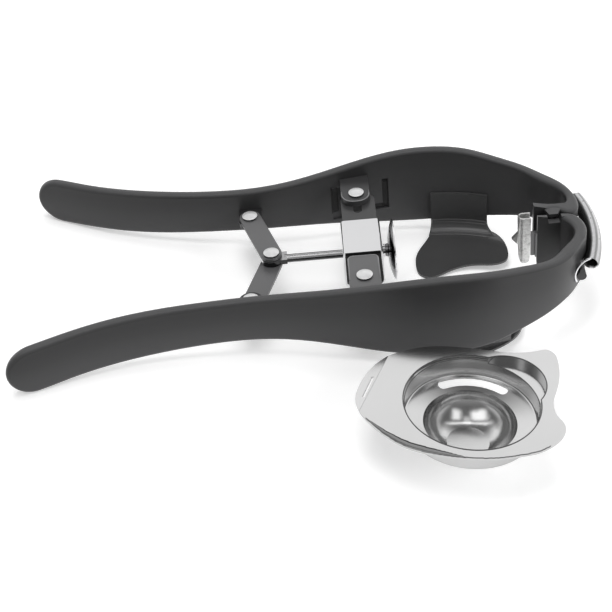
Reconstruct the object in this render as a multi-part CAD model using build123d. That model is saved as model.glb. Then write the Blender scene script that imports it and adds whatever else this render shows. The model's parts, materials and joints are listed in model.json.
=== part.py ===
"""Hand-held egg opener with a stainless separator cup, in millimetres.

Tool frame: X runs along the tool towards the hinge, Y from the near handle (-Y) to the far
handle (+Y), Z up; the handles' mid-plane is z = 0. The tool lies on its egg paddles and its
grip tips, so every tool piece is turned about Y by the pitch and set down on the floor.
"""
import os
from math import asin, atan2, cos, degrees, hypot, radians, sin

from build123d import *

os.makedirs("parts", exist_ok=True)

# ---- handles -------------------------------------------------------------------------
WALL = 4.4                 # moulded handle thickness
TIP_X = -232.4             # grip tip
SEAT_GAP = 0.06            # hairline between a bracket or paddle and the handle behind it
EDGE_ROUND = 1.7           # rounding along the handle's long edges
# station: x, inner face half spacing, handle height
STATIONS = [
    (-225, 55.7, 21.5), (-210, 49.0, 21.4), (-190, 42.0, 21.3), (-170, 37.9, 20.8),
    (-150, 35.8, 20.3), (-130, 35.5, 21.2), (-115, 37.0, 23.6), (-100, 39.5, 27.8),
    (-85, 41.9, 32.9), (-70, 43.4, 36.7), (-55, 43.3, 37.5), (-40, 41.0, 34.8),
    (-28, 36.5, 30.0), (-17, 31.1, 25.4),
]
HINGE_HEIGHT = 22.4
TIP_HEIGHT = 21.5
FULCRUM = (-2.4, 0.4)
# hinge curls in plan, following each handle from its last station to the fulcrum wall
FAR_OUTER = [(-11.8, 33.0), (-6.2, 27.8), (-1.0, 20.8), (0.9, 16.3), (1.9, 12.5), (2.3, 8.8),
             (2.0, 5.6), (0.8, 2.8), (-1.4, 0.85), (-3.6, 1.1), (-5.6, 2.5), (-7.4, 3.6),
             (-9.4, 4.0)]
FAR_WALL = [(-16.8, 4.4), (-16.8, 7.0)]
FAR_INNER = [(-4.8, 7.0), (-2.4, 10.2), (-2.3, 13.6), (-4.4, 18.9), (-9.0, 23.9)]
NEAR_OUTER = [(-11.8, -32.6), (-6.0, -26.9), (-0.4, -18.2), (1.8, -14.0), (2.6, -9.6),
              (2.0, -5.4), (0.5, -2.2), (-2.2, 0.15), (-5.0, 0.75), (-8.6, 0.8), (-12.3, 0.2)]
NEAR_WALL = [(-16.2, -0.6), (-16.2, -2.9)]
NEAR_INNER = [(-6.6, -2.4), (-4.0, -6.0), (-2.7, -10.9), (-4.1, -15.7), (-8.6, -21.6)]
# ---- tongue and notch ------------------------------------------------------------------
TONGUE_Z = (9.3, 10.9)
NOTCH_FLOOR = 8.3
# ---- toggle linkage --------------------------------------------------------------------
LINK_PIVOT = (-136.2, 27.5)
CENTRE_PIVOT_X = -127.3
LINK_WIDTH = 9.2
SHEET = 1.5                # link sheet thickness
LUG_Z = (-0.9, 1.4)        # lugs and rod eye share this level
LAYER_GAP = 0.1
LINK_SHORTEN = 0.865       # centre holes sit this much short of the rivet at rest
SHANK = 1.1
CENTRE_HOLE = 2.05
HEAD = 3.3
HEAD_HEIGHT = 1.5
# ---- push rod and disc -----------------------------------------------------------------
ROD = 1.8
EYE = 4.4
STEP_X = -120.8
ROD_Z = -0.2
DISC = 12.9
DISC_DISH = 2.6
# ---- guide sleeve and slide plate ------------------------------------------------------
SLEEVE_X = (-97.4, -80.9)
DISC_X = SLEEVE_X[1] + 2.3    # the disc rests this far beyond the sleeve
SLEEVE_Y = 11.2
SLEEVE_Z = (-8.8, 8.5)
SLEEVE_WALL = 0.8
BRACKET_PIVOT = (-89.5, 28.6)
PLATE_Z = (6.2, 7.3)
SLOT = (18.0, 30.5)
SLOT_HALF = 1.75
PLATE_END = 31.6
TAB_Z = (8.7, 9.8)
FAR_TAB_X = (-96.1, -83.7)
NEAR_TAB_X = (-95.9, -83.0)
FAR_TAB_END = 22.6
NEAR_TAB_END = 15.0
SHEET_THIN = 1.1
# ---- egg paddles -----------------------------------------------------------------------
PADDLE_X = (-56.5, -32.0)
PADDLE_TOP = -3.5
PADDLE_Z = (-23.6, -22.6)
FISH_TAIL = [(-56.6, 41.4), (-60.4, 32.4), (-64.7, 24.2), (-65.9, 16.0), (-64.2, 9.4),
             (-60.6, 7.4), (-57.1, 8.2), (-51.5, 11.2), (-39.7, 13.8), (-30.8, 13.1),
             (-26.4, 15.2), (-24.9, 20.8), (-27.4, 32.8), (-31.4, 37.6)]
# ---- piercing blade --------------------------------------------------------------------
BLADE_X = (-24.1, -18.7)
BLADE_Y = (-1.9, 2.7)
BLADE_Z = (-12.0, 11.0)
BLADE_SHEET = 0.8
TOOTH_X = -26.4
TOOTH_HALF = 3.3
# ---- return spring ---------------------------------------------------------------------
COIL = 2.9
SPRING_PATH = [(4.2, 25.2, 0.2), (7.4, 5.0, -0.2), (3.1, -20.0, -0.8)]
SPRING_LUG = (-1.3, 22.0, -3.6)
WIRE = 0.45
HOOK = [(3.6, -18.6, 1.0), (1.6, -21.2, 2.6), (-1.0, -22.8, 2.4), (-3.2, -23.9, 0.2),
        (-4.0, -24.2, -3.2), (-3.4, -24.4, -6.0)]
# ---- separator cup (plan shape from the rim centre, stands level on the floor) ---------
CUP_AT = (-54.0, -93.0)
CUP_YAW = -14.0
CUP_HEIGHT = 22.0
CUP_SHEET = 0.7
CUP_RIM = 26.4
CUP_LEDGE = 24.8
BOWL_RIM = 18.4
BOWL_FLAT = 8.4
LEDGE_DROP = 9.5
LEDGE_FALL = 1.3    # the ledge runs down this much towards the bowl
POCKET = (11.3, 12.7, 15.9)   # centre and radius of the crescent pocket by the spout lobe
POCKET_DROP = 3.0
DRAIN = (62, 126, 3.9)    # drain slot: first and last bearing, width
FLAP_LINE = ((-40.1, -14.5), (-34.6, 18.4))
FLAP_TURN = 14.0
SLIT = ((-39.9, -5.6), (-38.4, 5.4), 1.0)
FLANGE = [(-43.2, -3.3), (-42.3, -9.4), (-39.6, -14.8), (-35.8, -19.1), (-28.8, -24.7),
          (-21.7, -28.6), (-14.4, -30.3), (-6.9, -30.7), (0.6, -30.3), (8.4, -29.1),
          (14.3, -27.5), (20.4, -24.9), (26.8, -21.6), (31.4, -17.2), (34.1, -13.1),
          (35.2, -8.6), (34.2, -4.6), (31.8, -1.6), (30.2, 2.0), (29.6, 6.0), (30.1, 11.0),
          (30.7, 18.5), (30.3, 24.3), (29.3, 29.4), (27.6, 33.2), (24.8, 34.8), (21.1, 33.4),
          (12.0, 30.4), (0.0, 29.6), (-12.0, 28.8), (-22.0, 26.4), (-29.5, 22.4),
          (-35.5, 17.6), (-39.5, 12.2), (-42.0, 6.0)]


def smooth(points):
    return Spline(*[Vector(x, y) for x, y in points])


def outer_points(side):
    """Outer face stations: the inner face moved outwards by the wall along its normal."""
    inner = Spline(*[Vector(x, side * y) for x, y, _ in STATIONS])
    points = []
    for i in range(len(STATIONS) - 1):
        u = inner.param_at_point(Vector(STATIONS[i][0], side * STATIONS[i][1]))
        p = inner.position_at(u)
        t = inner.tangent_at(u)
        points.append((p.X - t.Y * WALL * side, p.Y + t.X * WALL * side))
    return points


def side_profile():
    """Side view of a handle: round at the tip, deepest at the bow, even at the hinge."""
    r = TIP_HEIGHT / 2
    mid = TIP_X + r
    heights = [(x, h / 2) for x, _, h in STATIONS[1:]] + [(-8.0, HINGE_HEIGHT / 2)]
    top = Spline(*[Vector(x, z) for x, z in [(mid, r)] + heights], tangents=((1, 0), (1, 0)))
    bottom = Spline(*[Vector(x, -z) for x, z in [(mid, r)] + heights],
                    tangents=((1, 0), (1, 0)))
    end = HINGE_HEIGHT / 2
    rim = [top, Line((-8, end), (12, end)), Line((12, end), (12, -end)),
           Line((12, -end), (-8, -end)), bottom,
           ThreePointArc((mid, -r), (TIP_X, 0), (mid, r))]
    return make_face(rim)


def handle(side, outer_curl, wall):
    """One handle: plan band with its hinge curl, cut to the side view, long edges rounded."""
    outer = [(TIP_X - 1.5, side * 62.9)] + outer_points(side) + outer_curl
    inner = inner_line(side)
    rim = [smooth(outer), Line(outer[-1], wall[0]), Line(wall[0], wall[1]),
           Line(wall[1], inner[0]), smooth(inner), Line(inner[-1], outer[0])]
    band = extrude(make_face(rim), 30, both=True)
    shape = extrude(Plane.XZ * side_profile(), 100, both=True)
    body = band & shape
    body = body.solids()[0]
    long_edges = [e for e in body.edges() if e.length > 90]
    for radius in (EDGE_ROUND, EDGE_ROUND * 0.7, EDGE_ROUND * 0.4):
        try:
            return body.fillet(radius, long_edges)
        except Exception:
            continue
    return body


def plate(points, z, smooth_rim=False):
    """Flat plate between two heights from plan points."""
    if smooth_rim:
        rim = [Spline(*[Vector(*p) for p in points], periodic=True)]
    else:
        rim = [Polyline(*[Vector(*p) for p in points], close=True)]
    return Pos(0, 0, z[0]) * extrude(make_face(rim), z[1] - z[0])


def disc_between(x, y, radius, z0, z1):
    return Pos(x, y, z0) * Cylinder(radius, z1 - z0, align=(Align.CENTER, Align.CENTER, Align.MIN))


def block(x, y, z):
    """Box between pairs of limits."""
    return Pos((x[0] + x[1]) / 2, (y[0] + y[1]) / 2, (z[0] + z[1]) / 2) * Box(
        x[1] - x[0], y[1] - y[0], z[1] - z[0])


def bar(start, end, width, z):
    """Round-ended bar between two plan points."""
    length = hypot(end[0] - start[0], end[1] - start[1])
    turn = degrees(atan2(end[1] - start[1], end[0] - start[0]))
    mid = ((start[0] + end[0]) / 2, (start[1] + end[1]) / 2, z[0])
    return Pos(*mid) * Rot(0, 0, turn) * extrude(SlotCenterToCenter(length, width), z[1] - z[0])


def rivet(x, y, head_z, tail_z, shank=SHANK, head=HEAD):
    """Domed head on top, shank, low tail head underneath."""
    crown = 0.8
    ball = (head ** 2 + crown ** 2) / (2 * crown)
    dome = disc_between(x, y, head, head_z, head_z + HEAD_HEIGHT)
    dome = dome & (Pos(x, y, head_z + HEAD_HEIGHT - ball) * Sphere(ball))
    tail = disc_between(x, y, head * 0.85, tail_z - 0.9, tail_z)
    return dome + disc_between(x, y, shank, tail_z, head_z) + tail


def inner_line(side):
    """Plan points of a handle's inner face, from the hinge curl to the grip tip."""
    curl = FAR_INNER if side > 0 else NEAR_INNER
    points = curl + [(x, side * y) for x, y, _ in reversed(STATIONS)]
    return points + [(TIP_X - 3.0, side * 59.6)]


def face_band(side, x, gap, depth):
    """Plan strip that follows a handle's inner face, set off by a gap, between two x limits."""
    far = [(sx, sy - side * gap) for sx, sy in inner_line(side)]
    near = [(sx, sy - side * (gap + depth)) for sx, sy in inner_line(side)]
    rim = [smooth(far), Line(far[-1], near[-1]), smooth(near), Line(near[0], far[0])]
    return extrude(make_face(rim), 40, both=True) & block(x, (-80, 80), (-40, 40))


def face_y(x):
    """Half spacing of the inner faces at a station between the listed ones."""
    for (x0, y0, _), (x1, y1, _) in zip(STATIONS, STATIONS[1:]):
        if x0 <= x <= x1:
            return y0 + (y1 - y0) * (x - x0) / (x1 - x0)
    return STATIONS[-1][1]


def link_lug(side):
    """Lug on a handle's inner face that carries one link's outer pivot."""
    x, y = LINK_PIVOT
    root = face_y(x) - 0.3
    lug = bar((x, side * y), (x, side * (root + 6)), LINK_WIDTH + 0.6, LUG_Z)
    lug = lug & block((x - 8, x + 8), sorted((side * (y - 8), side * (root + 6))), LUG_Z)
    lug = lug & face_band(side, (x - 8, x + 8), SEAT_GAP, 30)
    return lug - disc_between(x, side * y, SHANK + 0.03, -5, 5)


def link(side, z):
    """Toggle link from a handle lug to the centre rivet, with an easy centre hole."""
    x, y = LINK_PIVOT
    length = hypot(CENTRE_PIVOT_X - x, y)
    k = (length - LINK_SHORTEN) / length
    end = (x + (CENTRE_PIVOT_X - x) * k, side * y * (1 - k))
    body = bar((x, side * y), end, LINK_WIDTH, z)
    body -= disc_between(x, side * y, SHANK + 0.05, z[0] - 1, z[1] + 1)
    return body - disc_between(end[0], end[1], CENTRE_HOLE, z[0] - 1, z[1] + 1)


def bracket(side, tab_x, tab_end, spacer):
    """Angle bracket: a foot on the handle's inner face and a round-ended tab over the slide plate."""
    root = max(face_y(tab_x[0]), face_y(tab_x[1])) + 1
    corner = 5.6 if spacer else 2.4
    x0, x1 = tab_x
    tab = block(tab_x, sorted((side * tab_end, side * root)), TAB_Z)
    corners = tab.edges().filter_by(Axis.Z).sort_by(lambda e: side * e.center().Y)[:2]
    tab = fillet(corners, corner)
    foot = face_band(side, tab_x, SEAT_GAP, SHEET_THIN) & block((-200, 0), (-80, 80), (-8, TAB_Z[1]))
    # trim the tab where the foot's strip begins
    keep = face_band(side, tab_x, SEAT_GAP + SHEET_THIN * 0.5, 60)
    body = (tab & keep) + foot
    if spacer:
        bush = block((x0, x1), sorted((side * tab_end, side * (tab_end + 14))),
                     (PLATE_Z[1] + 0.1, TAB_Z[0]))
        ends = bush.edges().filter_by(Axis.Z)
        body += fillet(ends, corner)
    px, py = BRACKET_PIVOT
    return body - disc_between(px, side * py, 1.53, PLATE_Z[1] - 1, TAB_Z[1] + 1)


def paddle(side):
    """Egg paddle: upright strip on the handle's inner face, bent under it to a fish-tail plate."""
    strip = face_band(side, PADDLE_X, SEAT_GAP, 1.0)
    strip = strip & block((-200, 0), (-80, 80), (PADDLE_Z[0], PADDLE_TOP))
    tail = plate([(x, side * y) for x, y in FISH_TAIL], PADDLE_Z, smooth_rim=True)
    tail += block(PADDLE_X, sorted((side * 36.0, side * 45.0)), PADDLE_Z) & face_band(
        side, PADDLE_X, SEAT_GAP, 12)
    return strip + tail


def spring_lug(side):
    """Teardrop hook moulded on a handle's curl, holding the spring's end loop."""
    x, y, z = SPRING_LUG
    drop = Pos(x, side * y, z) * Rot(90, 0, 0) * Cylinder(2.0, 4.4)
    tip = Pos(x + 0.2, side * y, z + 2.6) * Rot(90, 0, 0) * Cylinder(1.1, 4.4)
    return drop + tip


def set_down(shape):
    return SEAT * shape


def cup_profile(shift):
    """Smooth half section of the cup's sheet, from the bottom centre to the rim."""
    h = CUP_HEIGHT
    ledge = h - LEDGE_DROP
    t = CUP_SHEET if shift else 0.0
    r = -t if shift else 0.0
    flat = Line((0, t), (BOWL_FLAT + r * 0.4, t))
    brink = ledge - LEDGE_FALL
    bowl = Spline((BOWL_FLAT + r * 0.4, t), (BOWL_RIM - 3.6 + r * 0.8, brink * 0.34 + t * 0.4),
                  (BOWL_RIM + r, brink - 1.6 + t), tangents=((1, 0.25), (0.12, 1)))
    lip = Line(bowl @ 1, (BOWL_RIM + r, brink - CUP_SHEET + t))
    floor = Line(lip @ 1, (CUP_LEDGE + r * 0.6, ledge - CUP_SHEET + t))
    wall = Spline(floor @ 1, (CUP_RIM - 0.5 + r, ledge + 1.6 + t * 0.4), (CUP_RIM + r, h),
                  tangents=((1, 0.05), (0, 1)))
    return [flat, bowl, lip, floor, wall]


def cup():
    """Thin sheet cup: lobed flange, crescent pocket, ledge with a drain slot, yolk bowl."""
    t = CUP_SHEET
    h = CUP_HEIGHT
    outside = cup_profile(False)
    inside = cup_profile(True)
    rim = outside + inside + [Line(outside[-1] @ 1, inside[-1] @ 1), Line((0, 0), (0, t))]
    body = revolve(Plane.XZ * make_face(rim), Axis.Z)
    flange = plate(FLANGE, (h - t, h), smooth_rim=True)
    flange -= disc_between(0, 0, CUP_RIM - t, h - 2, h + 1)
    (x0, y0), (x1, y1) = FLAP_LINE
    run = hypot(x1 - x0, y1 - y0)
    turn = degrees(atan2(y1 - y0, x1 - x0))
    beyond = Pos((x0 + x1) / 2, (y0 + y1) / 2, h) * Rot(0, 0, turn) * Pos(0, 20, 0) * Box(
        run * 3, 40, 8)
    flap = flange & beyond
    a, b, wide = SLIT
    flap -= bar(a, b, wide, (h - 3, h + 3))
    flange -= beyond
    hinge = Axis((x0, y0, h - t / 2), (x1 - x0, y1 - y0, 0))
    flap = flap.rotate(hinge, -FLAP_TURN)
    body += flange
    px, py, pr = POCKET
    pocket = disc_between(px, py, pr, h - POCKET_DROP - t, h)
    pocket -= disc_between(0, 0, CUP_RIM - t, h - 9, h + 1)
    body += pocket
    body -= disc_between(px, py, pr - t, h - POCKET_DROP, h + 1)
    ledge = h - LEDGE_DROP
    slot_r = (BOWL_RIM + CUP_LEDGE) / 2 + 0.1
    first, last, wide = DRAIN
    span = [(slot_r * cos(radians(a)), slot_r * sin(radians(a)))
            for a in range(first, last + 1, 8)]
    for (x0, y0), (x1, y1) in zip(span, span[1:]):
        body -= bar((x0, y0), (x1, y1), wide, (ledge - LEDGE_FALL - 2, ledge + 1.2))
    return (body + flap).solids().sort_by(lambda piece: piece.volume)[-1]


# ---- set-down: pitch and floor from the paddle lobe and the grip tip --------------------
lobe_x = min(x for x, _ in FISH_TAIL)
tip_r = TIP_HEIGHT / 2
run = lobe_x - (TIP_X + tip_r)
PITCH = 0.0
for _ in range(8):
    PITCH = asin((-PADDLE_Z[0] * cos(PITCH) - tip_r) / run)
FLOOR = lobe_x * sin(PITCH) + PADDLE_Z[0] * cos(PITCH)
SEAT = Location((0, 0, -FLOOR)) * Location((0, 0, 0), (0, -degrees(PITCH), 0))

parts = {}

# ---- handles ---------------------------------------------------------------------------
far = handle(1, FAR_OUTER, FAR_WALL)
tongue = plate([(-12.8, 5.2), (-5.2, 5.2), (-7.4, 0.2), (-11.0, 0.2)], TONGUE_Z)
near = handle(-1, NEAR_OUTER, NEAR_WALL)
notch = Plane.XZ * make_face(Polyline((-12.6, 14), (-5.8, 14), (-6.8, NOTCH_FLOOR),
                                      (-11.6, NOTCH_FLOOR), close=True))
near -= Pos(0, -3.5, 0) * extrude(notch, -6.5)
far += tongue
for side, body in ((1, "far"), (-1, "near")):
    groove = face_band(side, (-100.2, -96.4), -1.0, 1.02) & block((-120, 0), (-80, 80), (-11.2, 5.6))
    groove += face_band(side, (-77.6, -74.8), -1.0, 1.02) & block((-120, 0), (-80, 80), (-9.5, 6.4))
    groove += face_band(side, (-84.0, -74.8), -1.0, 1.02) & block((-120, 0), (-80, 80), (-9.5, -6.6))
    if body == "far":
        far -= groove
    else:
        near -= groove
parts["far_handle"] = far
parts["near_handle"] = near

# ---- toggle ------------------------------------------------------------------------------
px, py = LINK_PIVOT
top_link = (LUG_Z[1] + LAYER_GAP, LUG_Z[1] + LAYER_GAP + SHEET)
low_link = (LUG_Z[0] - LAYER_GAP - SHEET, LUG_Z[0] - LAYER_GAP)
parts["far_link_lug"] = link_lug(1)
parts["near_link_lug"] = link_lug(-1)
parts["far_link"] = link(1, top_link)
parts["near_link"] = link(-1, low_link)
parts["far_link_rivet"] = rivet(px, py, top_link[1] + 0.02, LUG_Z[0] - 0.02)
parts["near_link_rivet"] = rivet(px, -py, LUG_Z[1] + 0.02, low_link[0] - 0.02)
parts["centre_rivet"] = rivet(CENTRE_PIVOT_X, 0, top_link[1] + 0.05, low_link[0] - 0.05)

# ---- push rod and presser disc -------------------------------------------------------------
eye = disc_between(CENTRE_PIVOT_X, 0, EYE, *LUG_Z)
neck = block((CENTRE_PIVOT_X, STEP_X), (-2.9, 2.9), LUG_Z)
rod_end = DISC_X - 1.0
shaft = Pos((STEP_X + rod_end) / 2, 0, ROD_Z) * Rot(0, 90, 0) * Cylinder(ROD, rod_end - STEP_X)
collar = Pos(STEP_X - 0.6, 0, ROD_Z) * Rot(0, 90, 0) * Cylinder(ROD, 1.2)
parts["push_rod"] = eye + neck + collar + shaft - disc_between(CENTRE_PIVOT_X, 0, SHANK, -3, 3)
back = [(0, DISC_X - 1.0), (4.0, DISC_X - 0.9), (9.0, DISC_X + 0.3), (DISC, DISC_X + DISC_DISH)]
front = [(DISC - 0.2, DISC_X + DISC_DISH + 0.9), (8.8, DISC_X + 1.3), (4.0, DISC_X + 0.1),
         (0, DISC_X)]
section = make_face(Polyline(*[Vector(x, 0, r) for r, x in back + front], close=True))
parts["presser_disc"] = Pos(0, 0, ROD_Z) * revolve(section, Axis.X)
parts["disc_nut"] = Pos(rod_end - 0.45, 0, ROD_Z) * Rot(0, 90, 0) * (
    Cylinder(2.7, 0.8) - Cylinder(ROD + 0.02, 4))

# ---- guide sleeve and slide plate -----------------------------------------------------------
width = SLEEVE_X[1] - SLEEVE_X[0]
height = SLEEVE_Z[1] - SLEEVE_Z[0]
mid_x = sum(SLEEVE_X) / 2
mid_z = sum(SLEEVE_Z) / 2
tube = RectangleRounded(width, height, 1.5) - RectangleRounded(
    width - 2 * SLEEVE_WALL, height - 2 * SLEEVE_WALL, 0.7)
sleeve = Pos(mid_x, 0, mid_z) * extrude(Plane.XZ * tube, SLEEVE_Y, both=True)
sleeve -= Pos(mid_x, 0, ROD_Z) * Rot(0, 90, 0) * Cylinder(ROD + 0.07, 40)
parts["guide_sleeve"] = sleeve
inner_x = (SLEEVE_X[0] + SLEEVE_WALL + 0.1, SLEEVE_X[1] - SLEEVE_WALL - 0.1)
slide = block(inner_x, (-PLATE_END, PLATE_END), PLATE_Z)
slide = fillet(slide.edges().filter_by(Axis.Z), 4.5)
bx, by = BRACKET_PIVOT
for side in (1, -1):
    slide -= bar((bx, side * (SLOT[0] + SLOT_HALF)), (bx, side * SLOT[1]), 2 * SLOT_HALF,
                 (PLATE_Z[0] - 1, PLATE_Z[1] + 1))
parts["slide_plate"] = slide
parts["far_bracket"] = bracket(1, FAR_TAB_X, FAR_TAB_END, True)
parts["near_bracket"] = bracket(-1, NEAR_TAB_X, NEAR_TAB_END, False)
head_z = TAB_Z[1] + 0.02
parts["far_bracket_rivet"] = rivet(bx, by, head_z, PLATE_Z[0] - 0.1, shank=1.5)
washer = disc_between(bx, -by, 3.4, PLATE_Z[1] + 0.05, TAB_Z[0] - 0.05)
parts["near_bracket_rivet"] = rivet(bx, -by, head_z, PLATE_Z[0] - 0.1, shank=1.5) + washer

# ---- egg paddles -------------------------------------------------------------------------
parts["far_egg_paddle"] = paddle(1)
parts["near_egg_paddle"] = paddle(-1)

# ---- piercing blade ----------------------------------------------------------------------
bend = Pos(0, 0, BLADE_Z[0]) * extrude(make_face([
    Line((BLADE_X[1], BLADE_Y[0]), (BLADE_X[0] + 2.0, BLADE_Y[0])),
    ThreePointArc((BLADE_X[0] + 2.0, BLADE_Y[0]), (BLADE_X[0], sum(BLADE_Y) / 2),
                  (BLADE_X[0] + 2.0, BLADE_Y[1])),
    Line((BLADE_X[0] + 2.0, BLADE_Y[1]), (BLADE_X[1], BLADE_Y[1])),
    Line((BLADE_X[1], BLADE_Y[1]), (BLADE_X[1], BLADE_Y[1] - BLADE_SHEET)),
    Line((BLADE_X[1], BLADE_Y[1] - BLADE_SHEET), (BLADE_X[0] + 2.0, BLADE_Y[1] - BLADE_SHEET)),
    ThreePointArc((BLADE_X[0] + 2.0, BLADE_Y[1] - BLADE_SHEET),
                  (BLADE_X[0] + BLADE_SHEET, sum(BLADE_Y) / 2),
                  (BLADE_X[0] + 2.0, BLADE_Y[0] + BLADE_SHEET)),
    Line((BLADE_X[0] + 2.0, BLADE_Y[0] + BLADE_SHEET), (BLADE_X[1], BLADE_Y[0] + BLADE_SHEET)),
    Line((BLADE_X[1], BLADE_Y[0] + BLADE_SHEET), (BLADE_X[1], BLADE_Y[0])),
]), BLADE_Z[1] - BLADE_Z[0])
side_cut = make_face(Polyline((BLADE_X[0] + 0.9, BLADE_Z[0]), (BLADE_X[1] - 0.5, BLADE_Z[0]),
                              (BLADE_X[1], BLADE_Z[1]), (BLADE_X[0], BLADE_Z[1]), close=True))
low_corners = side_cut.vertices().sort_by(Axis.Y)
side_cut = fillet(low_corners[:2], 1.9)
bend &= extrude(Plane.XZ * side_cut, 20, both=True)
tooth = make_face(Plane.XZ * Polyline((BLADE_X[0] + 0.5, -TOOTH_HALF), (TOOTH_X, 0),
                                      (BLADE_X[0] + 0.5, TOOTH_HALF), close=True))
tooth = Pos(0, sum(BLADE_Y) / 2, 0) * extrude(tooth, 0.8, both=True)
parts["piercing_blade"] = bend + tooth
wall_x = NEAR_WALL[0][0] - 0.02
back_plate = block((BLADE_X[1] + 0.02, wall_x), (-1.5, -0.7), (-8.4, 3.8))
back_plate += block((wall_x - 0.8, wall_x), (NEAR_WALL[1][1] + 0.1, -0.7), (-8.4, 3.8))
parts["blade_foot"] = back_plate

# ---- return spring ------------------------------------------------------------------------
path = ThreePointArc(*[Vector(*p) for p in SPRING_PATH])
ring = Plane(origin=path.position_at(0), z_dir=path.tangent_at(0)) * (
    Circle(COIL) - Circle(COIL - 0.8))
parts["return_spring"] = sweep(ring, path)
for side, body in ((1, "far"), (-1, "near")):
    lug = spring_lug(side) - parts[body + "_handle"]
    parts[body + "_spring_lug"] = lug.solids().sort_by(Axis.X)[-1]
    hook = Spline(*[Vector(x, -side * y, z) for x, y, z in HOOK])
    ring = Plane(origin=hook.position_at(0), z_dir=hook.tangent_at(0)) * Circle(WIRE)
    wire = sweep(ring, hook) - parts[body + "_handle"] - parts[body + "_spring_lug"]
    wire = wire - parts["return_spring"]
    parts[body + "_spring_hook"] = wire.solids().sort_by(lambda w: w.volume)[-1]

# ---- write the tool pieces, set down, then the cup on the floor -----------------------------
for name, shape in parts.items():
    parts[name] = set_down(shape)
parts["separator_cup"] = Pos(CUP_AT[0], CUP_AT[1], 0) * Rot(0, 0, CUP_YAW) * cup()

lows = [shape.bounding_box() for shape in parts.values()]
span_x = (min(b.min.X for b in lows), max(b.max.X for b in lows))
span_y = (min(b.min.Y for b in lows), max(b.max.Y for b in lows))
floor = min(b.min.Z for b in lows)
CENTRE = (-sum(span_x) / 2, -sum(span_y) / 2, -floor)

if __name__ == "__main__":
    for name, shape in parts.items():
        export_step(Pos(*CENTRE) * shape, f"parts/{name}.step")
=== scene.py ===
import json
import math

import bmesh
import bpy
from mathutils import Matrix, Vector


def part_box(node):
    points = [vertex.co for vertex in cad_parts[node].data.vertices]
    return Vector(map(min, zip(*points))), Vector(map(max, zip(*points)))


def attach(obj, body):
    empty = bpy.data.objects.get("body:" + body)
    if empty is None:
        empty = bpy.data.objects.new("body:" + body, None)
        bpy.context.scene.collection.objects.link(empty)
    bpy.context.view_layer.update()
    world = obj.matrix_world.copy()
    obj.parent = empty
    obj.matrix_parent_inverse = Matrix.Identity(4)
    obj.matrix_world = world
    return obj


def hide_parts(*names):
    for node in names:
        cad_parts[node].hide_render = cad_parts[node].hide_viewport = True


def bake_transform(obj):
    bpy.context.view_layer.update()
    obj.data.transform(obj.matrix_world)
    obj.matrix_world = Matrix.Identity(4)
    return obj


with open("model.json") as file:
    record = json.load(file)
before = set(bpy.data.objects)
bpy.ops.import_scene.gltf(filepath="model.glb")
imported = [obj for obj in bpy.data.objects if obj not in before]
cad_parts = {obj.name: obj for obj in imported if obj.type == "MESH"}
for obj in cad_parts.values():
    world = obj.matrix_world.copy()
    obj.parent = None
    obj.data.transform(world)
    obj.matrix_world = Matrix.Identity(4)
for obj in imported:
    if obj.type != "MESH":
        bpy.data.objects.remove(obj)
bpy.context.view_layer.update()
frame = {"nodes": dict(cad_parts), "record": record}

bl_info = {
    "name": "Egg opener",
    "version": (1, 0, 0),
    "blender": (4, 5, 0),
    "location": "View3D > Sidebar > Egg opener",
    "description": "Dresses a hand-held egg opener and its separator cup",
    "category": "Object",
}

NODES = frame["nodes"]
JOINTS = {joint["name"]: joint for joint in frame["record"]["behaviour"]["joints"]}
BODY_OF = {node: body for body, members in frame["record"]["behaviour"]["bodies"].items()
           for node in members}
# the tool's own frame: millimetres, x along the tool, the handles' fulcrum at FULCRUM
FULCRUM = Vector((-2.4, 0.4, 0.0))
HINGE = Vector(JOINTS["fold"]["pos_m"])
PITCH = math.atan2(-JOINTS["fold"]["axis"][0], JOINTS["fold"]["axis"][2])
TILT = Matrix.Rotation(-PITCH, 3, "Y")


def place(x, y, z):
    """A point given in the tool's own frame, in millimetres, as a scene point in metres."""
    return TILT @ ((Vector((x, y, z)) - FULCRUM) / 1000) + HINGE


def direction(x, y, z):
    """A direction given in the tool's own frame, as the scene has it."""
    return TILT @ Vector((x, y, z))


ALONG = direction(1, 0, 0)
UP = direction(0, 0, 1)

# ---- measures ------------------------------------------------------------------------------
# All in millimetres and in the tool's own frame, unless a comment says otherwise.

# the handles' strip, in metres: its length and the depth its heights are measured in; how many
# stations its edges are read at, and how far round each, as a share of a station
HANDLE_SPAN = 0.234
STRIP_SPAN = 0.1
STATIONS = 20
STATION_REACH = 0.6

# tones as pairs: a place from 0 to 1, and the share of the finish's colour there.
# The strip's tones run from its lower to its upper edge, painted light below and painted shade
# above; the others run round a wire or rod as painted reflection bands.
STRIP_PAINTED_SHADING = ((0.0, 1.9), (0.12, 1.42), (0.35, 1.12), (0.6, 0.78), (0.8, 0.62), (1.0, 0.62))
COIL_PAINTED_BANDS = ((0.3, 0.05), (0.38, 0.3), (0.44, 1.0), (0.58, 1.0), (0.64, 0.5), (0.72, 0.5),
              (0.78, 1.0), (0.86, 0.9), (0.93, 0.5))
ROD_PAINTED_BANDS = ((0.0, 0.5), (0.08, 0.15), (0.16, 1.0), (0.62, 1.0), (0.7, 0.06), (0.9, 0.06),
             (0.97, 0.6))
ROD_LIGHT = direction(0, -0.64, -0.77)

# edges of the links, brackets and slide plate: flat below the first angle and eased above the
# second, in steps; the eased copy is shaded sharp above the third; the ease is in metres
FLAT_EDGE, SHARP_EDGE, SHADED_EDGE = (math.radians(angle) for angle in (0.5, 35, 14))
EDGE_STEPS = 3
LINK_EDGE, PLATE_EDGE = 0.00022, 0.0002
# the middle of the slide plate's slots along the tool, how far to either side of it their walls
# are looked for, in metres, and the height that the brackets' feet stay below
SLOT_X = -89.15
SLOT_REACH = 0.0025
FOOT_TOP = 5.0

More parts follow.
